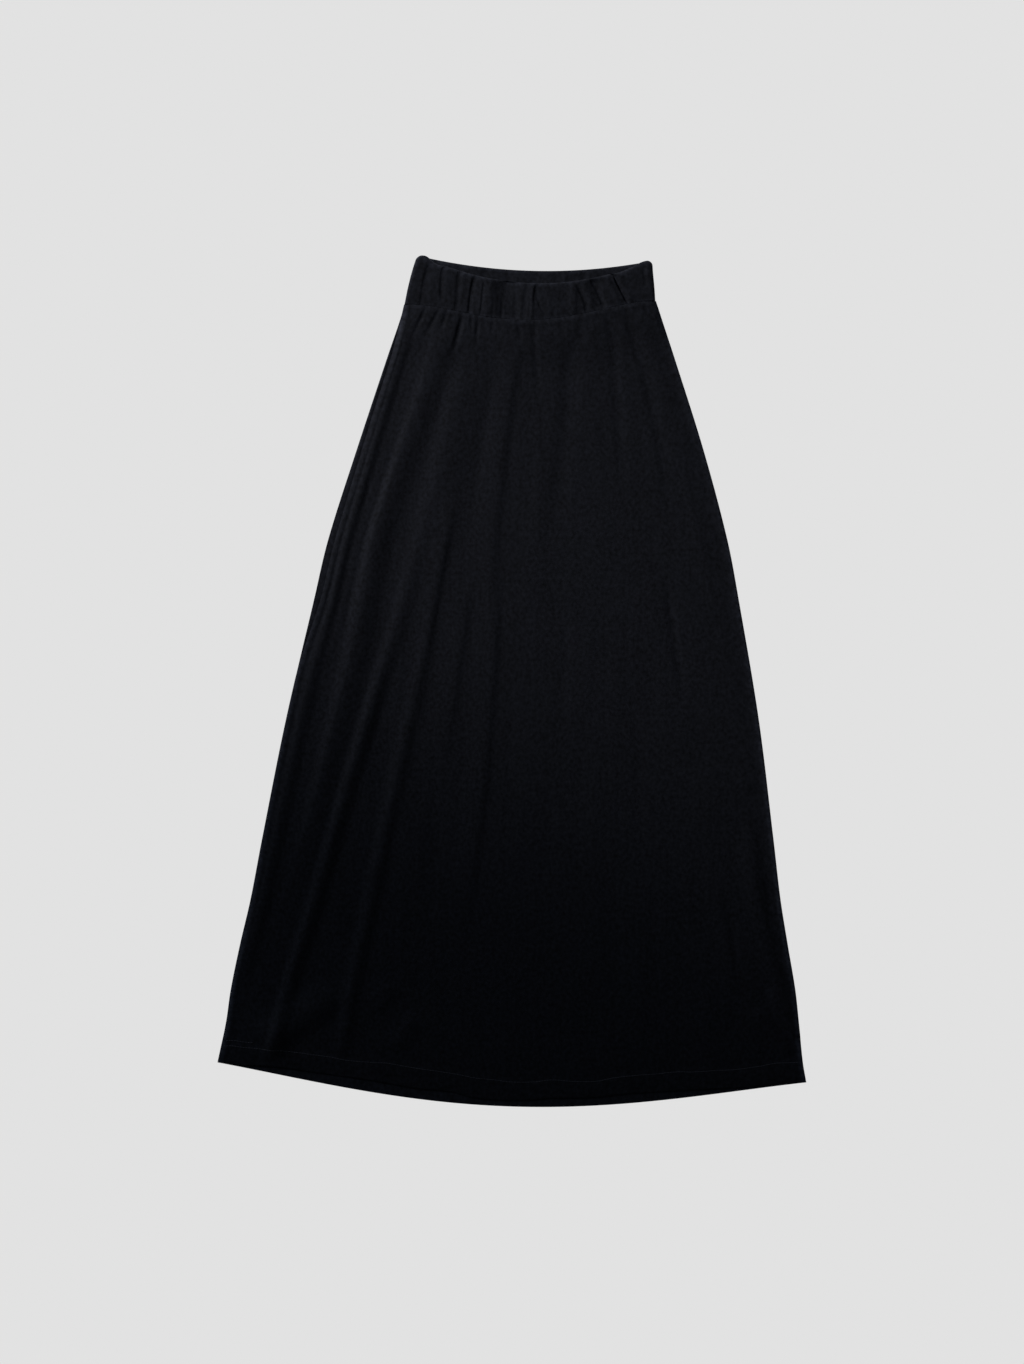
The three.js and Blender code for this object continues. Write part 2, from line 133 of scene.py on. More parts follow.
# Soft creases too low for the solids, in the same columns
SOFT_CREASES = (
    (40, 330, 0.36, 0.40, 0.42, 0.35, 16, 12, 90, 150),
    (60, 300, -0.26, -0.29, -0.31, -0.4, 12, 9, 60, 120),
    (140, 280, 0.07, 0.045, 0.03, 0.5, 12, 22, 60, 80),
    (330, 500, 0.315, 0.28, 0.25, 0.5, 15, 11, 60, 70),
    (330, 480, 0.20, 0.175, 0.15, -0.4, 9, 11, 50, 60),
    (420, 800, 0.02, 0.0, -0.03, 0.3, 20, 16, 120, 160),
    (500, 860, 0.3, 0.29, 0.3, 0.25, 24, 18, 140, 140),
    (300, 640, 0.45, 0.47, 0.48, -0.3, 14, 12, 120, 140),
    (560, 900, 0.55, 0.56, 0.55, 0.3, 16, 20, 120, 120),
    (670, 850, 0.792, 0.80, 0.806, -0.7, 6, 5, 50, 50),
    (150, 420, 0.84, 0.86, 0.88, 0.4, 9, 12, 90, 130),
    (240, 560, -0.79, -0.84, -0.885, -0.5, 9, 10, 90, 140),
    (560, 840, -0.31, -0.33, -0.36, -0.4, 14, 12, 90, 120),
    (500, 900, 0.12, 0.11, 0.13, -0.25, 12, 16, 120, 120),
    (200, 600, 0.57, 0.60, 0.60, 0.25, 12, 9, 120, 160),
)

# The back panel's creases, which rise from the surface it lies on, in the same columns
BACK_CREASES = (
    (10, 520, 0.5, 0.56, 0.62, 0.8, 14, 18, 60, 260),
    (30, 380, 0.12, 0.16, 0.18, 0.6, 12, 20, 80, 180),
    (0, 640, -0.34, -0.42, -0.46, 0.8, 16, 14, 60, 240),
    (260, 880, -0.7, -0.76, -0.83, 0.8, 14, 20, 160, 120),
    (420, 900, 0.32, 0.34, 0.38, 0.7, 20, 15, 160, 120),
    (300, 700, -0.05, -0.06, -0.05, 0.5, 18, 22, 120, 160),
    (520, 890, 0.78, 0.82, 0.86, 0.6, 15, 12, 120, 90),
    (20, 240, -0.72, -0.77, -0.8, 0.6, 10, 13, 60, 110),
)

# Gathers below the waist seam: length, place at the seam, place at the end, dip, width
SEAM_GATHERS = (
    (46, -0.820, -0.886, 1.2, 4.5),
    (40, -0.714, -0.792, 1.2, 4),
    (32, -0.655, -0.684, 1.2, 4),
    (20, -0.610, -0.618, 0.5, 3.5),
    (60, -0.530, -0.562, 1.7, 5.5),
    (18, -0.500, -0.502, 0.5, 3.5),
    (24, -0.461, -0.458, 1.0, 4),
    (40, -0.411, -0.404, 1.2, 4),
    (18, -0.350, -0.352, 0.5, 3.5),
    (24, -0.290, -0.300, 0.7, 4),
    (16, -0.235, -0.233, 0.6, 3.5),
    (20, -0.160, -0.162, 0.5, 4),
    (34, -0.100, -0.062, 1.0, 4.5),
    (26, 0.046, 0.043, 0.8, 4),
    (20, 0.130, 0.134, 0.5, 4),
    (34, 0.246, 0.254, 0.7, 5),
    (18, 0.318, 0.314, 0.4, 4),
    (40, 0.400, 0.366, 0.5, 6),
    (24, 0.468, 0.455, 0.5, 4.5),
    (18, 0.530, 0.528, 0.4, 4),
    (46, 0.604, 0.588, 0.6, 6),
    (20, 0.668, 0.670, 0.5, 4),
    (52, 0.744, 0.740, 0.7, 7),
    (18, 0.830, 0.836, 0.5, 4),
    (22, 0.900, 0.892, 0.5, 4),
    (18, 0.962, 0.925, 0.6, 4),
)

# Gathers of the waistband's front: top, middle, end, from, to, dip, reach to the left and right
BAND_GATHERS = (
    (-0.889, -0.884, -0.868, -0.1, 1.25, 0.8, 4, 12),
    (-0.78, -0.742, -0.705, -0.2, 0.9, 0.8, 3, 7),
    (-0.641, -0.609, -0.59, -0.2, 1.2, 0.7, 4, 6),
    (-0.512, -0.499, -0.488, -0.05, 1.2, 1.15, 3, 6),
    (-0.425, -0.402, -0.395, 0, 1.3, 1.1, 2.8, 9),
    (-0.39, -0.37, -0.36, -0.2, 1.3, -1.3, 14, 22),
    (-0.225, -0.195, -0.14, -0.2, 1.3, 2.5, 24, 26),
    (-0.345, -0.315, -0.30, 0.3, 1.2, 0.35, 3, 3),
    (-0.27, -0.245, -0.225, 0.3, 1.2, 0.4, 3, 3.4),
    (-0.135, -0.13, -0.11, 0.25, 1.15, 0.6, 5, 6),
    (-0.06, -0.055, -0.05, -0.1, 1.1, 0.6, 5, 5),
    (-0.012, 0.0, 0.012, -0.2, 1.2, -0.6, 3, 4),
    (0.025, 0.022, 0.07, -0.1, 0.7, 0.5, 3, 5),
    (0.03, 0.055, 0.145, 0.15, 1.2, 0.7, 3.4, 4),
    (0.36, 0.345, 0.36, -0.1, 1.15, -0.7, 11, 6),
    (0.34, 0.42, 0.455, -0.2, 1.15, 1.3, 4.2, 9),
    (0.51, 0.54, 0.57, -0.1, 1.2, 1.9, 15, 14),
    (0.475, 0.548, 0.588, -0.1, 1.2, 1.3, 3.6, 6),
    (0.61, 0.665, 0.715, -0.1, 1.15, -0.6, 4, 4),
    (0.672, 0.724, 0.783, -0.2, 1.2, 2.4, 2.6, 4),
    (0.70, 0.765, 0.815, -0.2, 1.1, -0.5, 3, 6),
    (0.93, 0.93, 0.93, -0.1, 0.7, 0.6, 4, 4),
)

# Ripples of the waistband's back, in the same columns
BACK_BAND_RIPPLES = (
    (-0.84, -0.83, -0.82, -0.3, 1.3, 0.6, 8, 8),
    (-0.62, -0.63, -0.64, -0.3, 1.3, 0.5, 10, 8),
    (-0.40, -0.41, -0.40, -0.3, 1.3, 0.6, 7, 9),
    (-0.21, -0.20, -0.20, -0.3, 1.3, 0.5, 10, 9),
    (0.02, 0.01, 0.00, -0.3, 1.3, 0.6, 8, 7),
    (0.20, 0.21, 0.22, -0.3, 1.3, 0.5, 9, 11),
    (0.43, 0.42, 0.42, -0.3, 1.3, 0.6, 8, 7),
    (0.62, 0.64, 0.65, -0.3, 1.3, 0.5, 7, 9),
    (0.83, 0.84, 0.85, -0.3, 1.3, 0.6, 9, 8),
)

# Small rises and dips of the front band's top edge: at, reach, rise
TOP_EDGE_WAVES = ((-0.96, 0.08, 2.4), (-0.87, 0.1, -2.0), (0.75, 0.12, -1.2), (0.95, 0.1, 1.8))

# How far the front panel's hem stops above the back's, and how far its stitches lie above its edge
FRONT_HEM = {
    "across": (
        -1, -0.93, -0.8, -0.57, -0.46, -0.33, -0.2, -0.13, 0.03, 0.14, 0.28, 0.42, 0.6, 0.75, 0.9, 1
    ),
    "lift": (0.3, 2.5, 9, 13.5, 14.5, 13, 13.5, 8.6, 8.2, 11, 10.4, 12, 9, 5, 2.4, 0.3),
    "stitch": (19, 21.5, 20.5, 21, 22.5, 23.5, 22, 23, 22, 20.5, 19, 20.5, 21.5, 22, 24, 24),
}

# How the panels' columns lean on the way down, so that they run along the folds: where they lean
# most, how far from there they lean at all, and how far they have moved at the hem
PANEL_LEAN = {"at": -0.6, "reach": 0.4, "shift": 0.26}

# How far the front panel stands off the back one: up to `height`, over the share `side` of the half
# width and the distance `hem`. Beside the hem only a share of all relief is left. The hem itself
# lies on the back panel's hem, and from `wall_to` on the front panel lies on a single wall.
LOFT = {"height": 1.3, "side": 0.16, "hem": 52}
HEM_RELIEF = {"share": 0.5, "reach": 26}
HEM_REST = {"gap": 0.05, "wall_from": 24, "wall_to": 60}

# The rise of the front panel to the waistband, with a low welt along the seam. Towards the side seams
# only a share of it is left, over the given width, and nothing from `corner_depth` down.
SEAM_RISE = {"height": 3.4, "from": 6, "to": 70, "side_width": 9, "corner": 0.6, "corner_depth": 32}
SEAM_WELT = {"height": 0.3, "at": 4.5, "reach": 5.0}

# Where along their length the gathers below the seam start to fade out, and over which share of its
# depth the waistband's fade at both ends. Those below the waist seam are shallower in the
# seam itself.
GATHER_FADE = 0.3
GATHERS_IN_SEAM = {"share": 0.3, "reach": 20}
BAND_GATHER_FADE = 0.25

# The back panel's creases stay this low, so that they lie under the front panel, and fade out towards
# its edges. Its corners rise at the ends of the waist seam.
BACK_RELIEF = {"ground": 0.12, "limit": 0.85, "side": 0.12, "hem": (30, 80), "seam": 40}
BACK_CORNER = {"rise": 0.9, "depth": 32, "from_side": (2, 12)}

# The hem's thickness fades out above its stitches, and the front's tapers towards its edge. The
# stitches lie in a ditch, with puckers beside the front's.
HEM_FADE = {"below": 0.5, "front": 3.5, "back": 2.5}
HEM_TAPER = {"share": 0.5, "reach": 9}
DITCH = {"front": 0.3, "back": 0.25, "reach": 1.6}
PUCKER_REACH = 8

# The seam allowance inside the front panel, which shows as a low step along its side seams
SEAM_ALLOWANCE = {"rise": 0.5, "begins": (0, 3), "ends": (6.5, 9.5), "above_hem": 30}

# Radii of the cloth's edges
SIDE_ROUND = 1.5
SEAM_ROUND = 0.5
FRONT_HEM_ROUND = 1.6
BACK_HEM_ROUND = 1.5
BAND_SIDE_ROUND = 3.0
BAND_TOP_ROUND = 1.8
BAND_SEAM_ROUND = 0.8

# The waistband at its seam: how far from it the casing is drawn in, by which share of its thickness
# and by how much more in the seam, and how far the front's underside is drawn up. Its gathers are
# shallower there.
BAND_SEAM = {"reach": 10, "share": 0.16, "seam": 0.3, "drawn_up": 1.4}
BAND_RELIEF = {"seam_share": 0.55, "reach": 7}
BAND_SINK = {"depth": 0.6, "reach": 4}
BACK_BAND_LIMIT = 0.15

# Painted light: how much lighter the cloth is painted at its rims and seams, as highlights where the
# edges catch the light, and inside the back hem, where it lightens the shadow the front hem casts on it:
# strength, place and reach of each.
# The front's side rims grow from the first strength to the second on the way down.
RIMS = {
    "front_side": (1.1, 2.2),
    "front_side_grows": (200, 800),
    "front_side_at": (2.0, 5.5),
    "front_side_rolled": 0.9,
    "front_seam": (0.3, 1.5, 4),
    "back_hem": (0.5, 0.0, 3.0),
    "back_hem_inside": (0.35, 12, 20),
    "back_roll": (0.5, -1.0, 3.0),
    "band_side": (0.8, 0.0, 4.5),
    "band_top": (0.6, 1.5, 4.0),
    "band_seam": (0.3, 1.0, 3),
}

# The left seam below the waist, rolled a little to the front: where the roll starts, widens and ends
# on the way down, how wide it is, how far in the cloth moves with it, and its height on both panels
SEAM_ROLL = {
    "starts": (4, 70),
    "widens": (60, 300),
    "ends": (340, 460),
    "width": (4.6, 8.4),
    "pull": 40,
    "front_rise": 0.7,
    "front_at": 5,
    "front_reach": 5,
    "back_rise": 0.8,
    "back_inset": 3.0,
    "back_reach": (3.4, 2.4),
}

# Low ripples: height, cell size across and along the cloth, seed
FRONT_RIPPLES = ((0.28, 26, 150, 3), (0.12, 11, 60, 4))
BACK_RIPPLES = ((0.12, 30, 170, 6),)
HEM_PUCKERS = ((0.16, 7.5, 200, 5),)
BAND_RIPPLES = ((0.22, 9, 30, 8), (0.12, 4.5, 16, 9))
STITCH_WOBBLES = ((1.3, 0.07, 1.0, 12),)
NOISE_CELLS = 128
NOISE_ORIGIN = 300.0


def mix(a, b, share):
    return a + (b - a) * share


def smooth(start, end, value):
    """A soft step from 0 at start to 1 at end."""
    share = np.clip((value - start) / (end - start), 0, 1)
    return share * share * (3 - 2 * share)


def ridge(distance, reach):
    """A soft rounded ridge, 1 at its crest and 0 from its reach on."""
    share = np.minimum(np.abs(distance) / reach, 1)
    return np.cos(share * math.pi / 2) ** 2


def uneven_ridge(distance, left, right):
    """A ridge with a reach of its own on each side."""
    return np.where(distance < 0, ridge(distance, left), ridge(distance, right))


def rounded(distance, reach):
    """A round edge: 0 at the edge, 1 from its reach on."""
    share = 1 - np.minimum(distance / reach, 1)
    return np.sqrt(1 - share**2)


# A painted highlight along an edge: the strength of its RIMS entry at its place, fading out over its
# reach
def painted_rim_light(name, distance):
    strength, at, reach = RIMS[name]
    return strength * ridge(distance - at, reach)


def crown(across):
    return 1 - across**2


def curve_through(keys, values, at):
    """A smooth curve through a table's points."""
    keys = np.asarray(keys, float)
    values = np.asarray(values, float)
    slopes = np.empty_like(values)
    slopes[1:-1] = (values[2:] - values[:-2]) / (keys[2:] - keys[:-2])
    slopes[0] = (values[1] - values[0]) / (keys[1] - keys[0])
    slopes[-1] = (values[-1] - values[-2]) / (keys[-1] - keys[-2])
    place = np.clip(np.searchsorted(keys, at, side="left"), 1, len(keys) - 1)
    span = keys[place] - keys[place - 1]
    share = (at - keys[place - 1]) / span
    rise = values[place] - values[place - 1]
    early = slopes[place - 1] * span - rise
    late = rise - slopes[place] * span
    bend = share * (1 - share) * (early * (1 - share) + late * share)
    return values[place - 1] + rise * share + bend


def through_three(top, middle, end, along):
    """A parabola through three values: at the start, halfway and at the end."""
    return (
        2 * (along - 0.5) * (along - 1) * top
        + 4 * along * (1 - along) * middle
        + 2 * along * (along - 0.5) * end
    )


def soft_noise(x, y, cell_x, cell_y, seed):
    """Smooth noise between -1 and 1, with the given cell sizes and the same values on every run."""
    table = np.random.default_rng(seed).uniform(-1, 1, (NOISE_CELLS, NOISE_CELLS))
    u = x / cell_x + NOISE_ORIGIN
    v = y / cell_y + NOISE_ORIGIN
    i = np.floor(u).astype(int)
    j = np.floor(v).astype(int)
    s = u - i
    t = v - j
    s = s * s * s * (s * (6 * s - 15) + 10)
    t = t * t * t * (t * (6 * t - 15) + 10)

    def corner(di, dj):
        return table[(i + di) % NOISE_CELLS, (j + dj) % NOISE_CELLS]

    return mix(mix(corner(0, 0), corner(1, 0), s), mix(corner(0, 1), corner(1, 1), s), t)


def ripples(table, x, y):
    return sum(height * soft_noise(x, y, cell_x, cell_y, seed) for height, cell_x, cell_y, seed in table)


def between_sides(ends, across):
    return mix(ends[0], ends[1], (across + 1) / 2)


def edge_waves(across):
    return sum(rise * ridge(across - at, reach) for at, reach, rise in TOP_EDGE_WAVES)


def front_hem_lift(across):
    return curve_through(FRONT_HEM["across"], FRONT_HEM["lift"], across)


def front_stitch_line(across):
    """How far the front hem's stitches lie above its edge: a hand-guided line with small wobbles."""
    line = curve_through(FRONT_HEM["across"], FRONT_HEM["stitch"], across)
    return line + ripples(STITCH_WOBBLES, across, 0 * across)


def panel_plan(across, down, seam_sag, hem_lift):
    """Where a panel's points lie in plan, and the panel's half width there."""
    share = down / PANEL_LENGTH
    left_height = mix(SEAM_ENDS[0], HEM_ENDS[0], share)
    right_height = mix(SEAM_ENDS[1], HEM_ENDS[1], share)
    left = -curve_through(SIDE_EDGES["down"], SIDE_EDGES["left"], -left_height)
    right = curve_through(SIDE_EDGES["down"], SIDE_EDGES["right"], -right_height)
    hem_dip = crown(across) * (HEM_SAG + HEM_BELLY * crown(across) - HEM_SKEW * across)
    dip = mix(seam_sag * crown(across) ** 2, hem_dip - hem_lift, share)
    x = between_sides((left, right), across)
    y = between_sides((left_height, right_height), across) - dip
    return x, y, (right - left) / 2


def band_plan(across, depth, top_sag, seam_sag, waves):
    """The waistband's points in plan, its half width, and their distances from its top and the seam."""
    top = between_sides(WAIST_TOP, across) - top_sag * crown(across) + waves
    bottom = between_sides(SEAM_ENDS, across) - seam_sag * crown(across) ** 2 + SEAM_JOIN
    from_top = depth * (top - bottom)
    in_corner = np.maximum(BAND_CORNER - from_top, 0)
    inset = BAND_CORNER - np.sqrt(BAND_CORNER**2 - in_corner**2)
    left = inset - curve_through(BAND_EDGES["depth"], BAND_EDGES["left"], depth)
    right = curve_through(BAND_EDGES["depth"], BAND_EDGES["right"], depth) - inset
    x = between_sides((left, right), across)
    return x, top - from_top, (right - left) / 2, from_top, top - bottom - from_top


def creases(table, across, down, half):
    """The summed relief of a table of folds."""
    height = np.zeros_like(across)
    for start, end, top, middle, low, rise, left, right, grow, fade in table:
        along = (down - start) / (end - start)
        inside = (along >= 0) & (along <= 1)
        distance = (across - through_three(top, middle, low, along)) * half
        growing = smooth(0, grow, down - start)
        fading = smooth(0, fade, end - down)
        height += np.where(inside, rise * uneven_ridge(distance, left, right) * growing * fading, 0)
    return height


def cross_folds(x, y):
    """The relief of the folds that run across the others."""
    height = np.zeros_like(x)
    for start_x, start_y, end_x, end_y, rise, above, below, ends in CROSS_FOLDS:
        length = math.hypot(end_x - start_x, end_y - start_y)
        run_x = (end_x - start_x) / length
        run_y = (end_y - start_y) / length
        along = (x - start_x) * run_x + (y - start_y) * run_y
        distance = (x - start_x) * run_y - (y - start_y) * run_x
        distance = -distance if run_x < 0 else distance
        fading = smooth(0, ends, along) * smooth(0, ends, length - along)
        height += rise * uneven_ridge(distance, above, below) * fading
    return height


def gathers_below_seam(across, down, half):
    """The dips where the gathered cloth leaves the waist seam."""
    height = np.zeros_like(across)
    for length, top, end, dip, width in SEAM_GATHERS:
        along = np.minimum(down / length, 1)
        distance = (across - mix(top, end, along)) * half
        height -= dip * (1 - smooth(GATHER_FADE, 1, along)) * ridge(distance, width)
    return height * mix(GATHERS_IN_SEAM["share"], 1, smooth(0, GATHERS_IN_SEAM["reach"], down))


def band_gathers(table, across, depth, half):
    """The summed relief of the waistband's gathers."""
    relief = np.zeros_like(across)
    for top, middle, end, start, stop, dip, left, right in table:
        distance = (across - through_three(top, middle, end, depth)) * half
        fading = smooth(0, BAND_GATHER_FADE, depth - start) * smooth(0, BAND_GATHER_FADE, stop - depth)
        relief -= dip * fading * uneven_ridge(distance, left, right)
    return relief


# Meshes

# Distances of the rows and columns from the cloth's edges, where they lie closer
EDGE_STEPS = (0, 0.06, 0.22, 0.5, 0.9, 1.6, 2.8)
HEM_STEPS = (0, 0.06, 0.25, 0.6, 1.2, 2.4, 4.5, 7.5, 11, 14.5, 17.5, 19.5, 21, 22.5, 24.5, 27.5, 31)
SEAM_STEPS = (0, 0.1, 0.35, 0.8, 1.5, 2.4, 3.4, 4.6, 6, 7.8)
BAND_EDGE_STEPS = (0, 0.12, 0.45, 1.0, 1.8, 2.8, 4)
BAND_DEPTH_STEPS = (0, 0.003, 0.01, 0.022, 0.04, 0.065)

# Half widths that turn those distances into shares of a panel's and of the waistband's width
PANEL_HALF = 250
BAND_HALF = 145

# Columns to the left and right of the middle, and rows
FRONT_GRID = (136, 92, 292)
BACK_GRID = (74, 74, 190)
PROBE_GRID = (60, 60, 120)

# Columns and rows of the waistband's two sides
BAND_FRONT_GRID = (330, 62)
BAND_BACK_GRID = (210, 44)

# How many cells in from its edges the front panel's lower face is hidden
FRONT_RETURN = 9


def with_close_sides(inner, near):
    """Places from -1 to 1: the inner ones, and those near the two side seams."""
    return np.concatenate([near[:-1] - 1, inner, (1 - near[:-1])[::-1]])


def edge_spacing(length, near, count, end_near):
    """Distances along a cloth: close ones at its start and end, with even ones between."""
    inner = np.linspace(near[-1], length - end_near[-1], count)
    tail = [length - step for step in reversed(end_near)]
    return np.concatenate([near[:-1], inner, tail[1:]])


def panel_grid(left_columns, right_columns, rows):
    """Where the columns and rows of a panel lie, closer at its edges."""
    near = np.divide(EDGE_STEPS, PANEL_HALF)
    left = np.linspace(near[-1] - 1, 0, left_columns)
    right = np.linspace(0, 1 - near[-1], right_columns)[1:]
    columns = with_close_sides(np.concatenate([left, right]), near)
    column, down = np.meshgrid(columns, edge_spacing(PANEL_LENGTH, SEAM_STEPS, rows, HEM_STEPS))
    amount = PANEL_LEAN["shift"] * ridge(column - PANEL_LEAN["at"], PANEL_LEAN["reach"])
    return column - amount * down / PANEL_LENGTH, down


def band_grid(columns, rows):
    near = np.divide(BAND_EDGE_STEPS, BAND_HALF)
    across = with_close_sides(np.linspace(near[-1] - 1, 1 - near[-1], columns), near)
    return np.meshgrid(across, edge_spacing(1.0, BAND_DEPTH_STEPS, rows, BAND_DEPTH_STEPS))


def placed(made):
    bpy.context.scene.collection.objects.link(made)
    return made


def shown(name, mesh, material):
    """A smoothly shaded object in the scene, made from a mesh."""
    mesh.polygons.foreach_set("use_smooth", np.ones(len(mesh.polygons), bool))
    mesh.materials.append(material)
    return placed(bpy.data.objects.new(name, mesh))


def mesh_object(name, points, faces, material):
    """An object from arrays of points and of faces that all have as many corners."""
    mesh = bpy.data.meshes.new(name)
    mesh.vertices.add(len(points))
    mesh.vertices.foreach_set("co", np.ascontiguousarray(points, np.float32).ravel())
    corners = faces.shape[1]
    mesh.loops.add(faces.size)
    mesh.loops.foreach_set("vertex_index", np.ascontiguousarray(faces, np.int32).ravel())
    mesh.polygons.add(len(faces))
    mesh.polygons.foreach_set("loop_start", np.arange(0, faces.size, corners, dtype=np.int32))
    mesh.polygons.foreach_set("loop_total", np.full(len(faces), corners, np.int32))
    mesh.update(calc_edges=True)
    mesh.validate()
    return shown(name, mesh, material)


def cloth_object(name, x, y, top, bottom, material, painted_light, returned=None):
    """A cloth from a grid of its upper and lower faces, which meet at its edges.

    The painted light is how much lighter the jersey is painted at each place, as highlights at its rims
    and seams and as light over a cast shadow. `returned` keeps the lower face only that many cells in
    from the edges, as the rest is hidden.
    """
    rows, columns = x.shape
    count = rows * columns
    index = np.arange(count).reshape(rows, columns)
    rim = np.zeros((rows, columns), bool)
    rim[0] = rim[-1] = True
    rim[:, 0] = rim[:, -1] = True
    under = index + count
    under[rim] = index[rim]
    top = np.where(rim, (top + bottom) / 2, top)
    points = np.concatenate([np.stack([x, y, height], -1).reshape(-1, 3) for height in (top, bottom)])

    def quads(grid, flipped):
        corners = [grid[:-1, :-1], grid[1:, :-1], grid[1:, 1:], grid[:-1, 1:]]
        if flipped:
            corners.reverse()
        return np.stack(corners, -1)

    upper_faces = quads(index, False).reshape(-1, 4)
    lower_faces = quads(under, True)
    if returned is not None:
        kept = np.ones(lower_faces.shape[:2], bool)
        kept[returned:-returned, returned:-returned] = False
        lower_faces = lower_faces[kept]
    faces = np.concatenate([upper_faces, lower_faces.reshape(-1, 4)])
    used = np.unique(faces)
    renumber = np.full(len(points), -1)
    renumber[used] = np.arange(len(used))
    made = mesh_object(name, points[used] * MM, renumber[faces], material)
    # The painted light, kept as a point attribute that the jersey material reads
    painted_light_values = made.data.attributes.new("painted_light", "FLOAT", "POINT")
    painted_light_values.data.foreach_set("value", np.tile(painted_light.ravel(), 2)[used].astype(np.float32))
    return made


# Materials

WALE_WIDTH = 0.00078
COURSE_HEIGHT = 0.00062
COURSE_SLANT = 1.3
BLACK_JERSEY = (0.0070, 0.0077, 0.0102)
BLACK_THREAD = (0.024, 0.025, 0.030)
JERSEY_SURFACE = {
    "Roughness": 0.85,
    "Specular IOR Level": 0.1,
    "Sheen Weight": 0.05,
    "Sheen Roughness": 0.4,
    "Sheen Tint": (0.75, 0.82, 1.0, 1.0),
}
THREAD_SURFACE = {"Roughness": 0.55, "Specular IOR Level": 0.35}
THREAD_TWIST = {"scale": 900.0, "contrast": 0.5, "darkest": 1.25}


class Nodes:
    """A small helper that adds and links the nodes of one material."""

    def __init__(self, name):
        self.material = bpy.data.materials.new(name)
        self.material.use_nodes = True
        self.tree = self.material.node_tree
        self.tree.nodes.clear()

    def add(self, kind, **settings):
        node = self.tree.nodes.new(kind)
        for key, value in settings.items():
            setattr(node, key, value)
        return node

    def join(self, value, socket):
        if isinstance(value, bpy.types.NodeSocket):
            self.tree.links.new(value, socket)
        else:
            socket.default_value = value

    def place(self):
        return self.add("ShaderNodeTexCoord").outputs["Object"]

    def maths(self, operation, a, b=0.0):
        node = self.add("ShaderNodeMath", operation=operation)
        self.join(a, node.inputs[0])
        self.join(b, node.inputs[1])
        return node.outputs[0]

    def noise(self, place, scale, detail):
        node = self.add("ShaderNodeTexNoise")
        self.join(place, node.inputs["Vector"])
        node.inputs["Scale"].default_value = scale
        node.inputs["Detail"].default_value = detail
        return node.outputs["Fac"]

    def stretched(self, place, scale):
        node = self.add("ShaderNodeMapping")
        self.join(place, node.inputs["Vector"])
        node.inputs["Scale"].default_value = scale
        return node.outputs["Vector"]

    def toned(self, colour, tone):
        node = self.add("ShaderNodeVectorMath", operation="SCALE")
        node.inputs[0].default_value = colour
        self.join(tone, node.inputs["Scale"])
        return node.outputs[0]

    def bump(self, height, distance, strength, normal=None):
        node = self.add("ShaderNodeBump")
        node.inputs["Strength"].default_value = strength
        node.inputs["Distance"].default_value = distance
        self.join(height, node.inputs["Height"])
        if normal is not None:
            self.join(normal, node.inputs["Normal"])
        return node.outputs["Normal"]

    def finished(self, kind, inputs):
        """The material, once its last shader is added and its inputs are set or joined."""
        shader = self.add(kind)
        for key, value in inputs.items():
            self.join(value, shader.inputs[key])
        output = self.add("ShaderNodeOutputMaterial")
        self.join(shader.outputs[0], output.inputs["Surface"])
        return self.material


def jersey_material(name):
    """Black single jersey: fine knitted wales along the skirt, a soft grain and a faint sheen."""
    nodes = Nodes(name)
    place = nodes.place()
    split = nodes.add("ShaderNodeSeparateXYZ")
    nodes.join(place, split.inputs[0])
    x, y = split.outputs[0], split.outputs[1]

    wale_wave = nodes.maths("SINE", nodes.maths("MULTIPLY", x, 2 * math.pi / WALE_WIDTH))
    slant = nodes.maths("MULTIPLY", nodes.maths("ABSOLUTE", wale_wave), COURSE_SLANT)
    course = nodes.maths("ADD", nodes.maths("MULTIPLY", y, 2 * math.pi / COURSE_HEIGHT), slant)
    course_wave = nodes.maths("SINE", course)
    knit = nodes.maths("MULTIPLY", nodes.maths("ADD", wale_wave, course_wave), 0.25)

    grain = nodes.noise(nodes.stretched(place, (1.0, 0.85, 1.0)), scale=250.0, detail=1.0)
    fuzz = nodes.noise(place, scale=1300.0, detail=1.0)
    streaks = nodes.noise(nodes.stretched(place, (1.0, 0.03, 1.0)), scale=130.0, detail=2.0)
    cloud = nodes.noise(place, scale=16.0, detail=2.0)

    tone = 1.0
    for pattern, middle, strength in (
        # a pattern, its middle value and how strongly it changes the tone
        (grain, 0.5, 2.0),
        (fuzz, 0.5, 0.8),
        (streaks, 0.5, 0.3),
        (cloud, 0.5, 0.3),
        (knit, 0.0, 0.4),
    ):
        share = nodes.maths("MULTIPLY", nodes.maths("SUBTRACT", pattern, middle), strength)
        tone = nodes.maths("ADD", share, tone)
    # Painted light: the point attribute with painted highlights at rims and seams, and with light over
    # the back hem's cast shadow, makes the tone lighter
    painted_light = nodes.add("ShaderNodeAttribute", attribute_name="painted_light").outputs["Fac"]
    tone = nodes.maths("MULTIPLY", tone, nodes.maths("ADD", painted_light, 1.0))

    soft = nodes.bump(grain, distance=0.0003, strength=0.4)
    fine = nodes.bump(fuzz, distance=0.00008, strength=0.3, normal=soft)
    knitted = nodes.bump(knit, distance=0.00012, strength=0.35, normal=fine)
    inputs = {"Base Color": nodes.toned(BLACK_JERSEY, tone), "Normal": knitted, **JERSEY_SURFACE}
    return nodes.finished("ShaderNodeBsdfPrincipled", inputs)


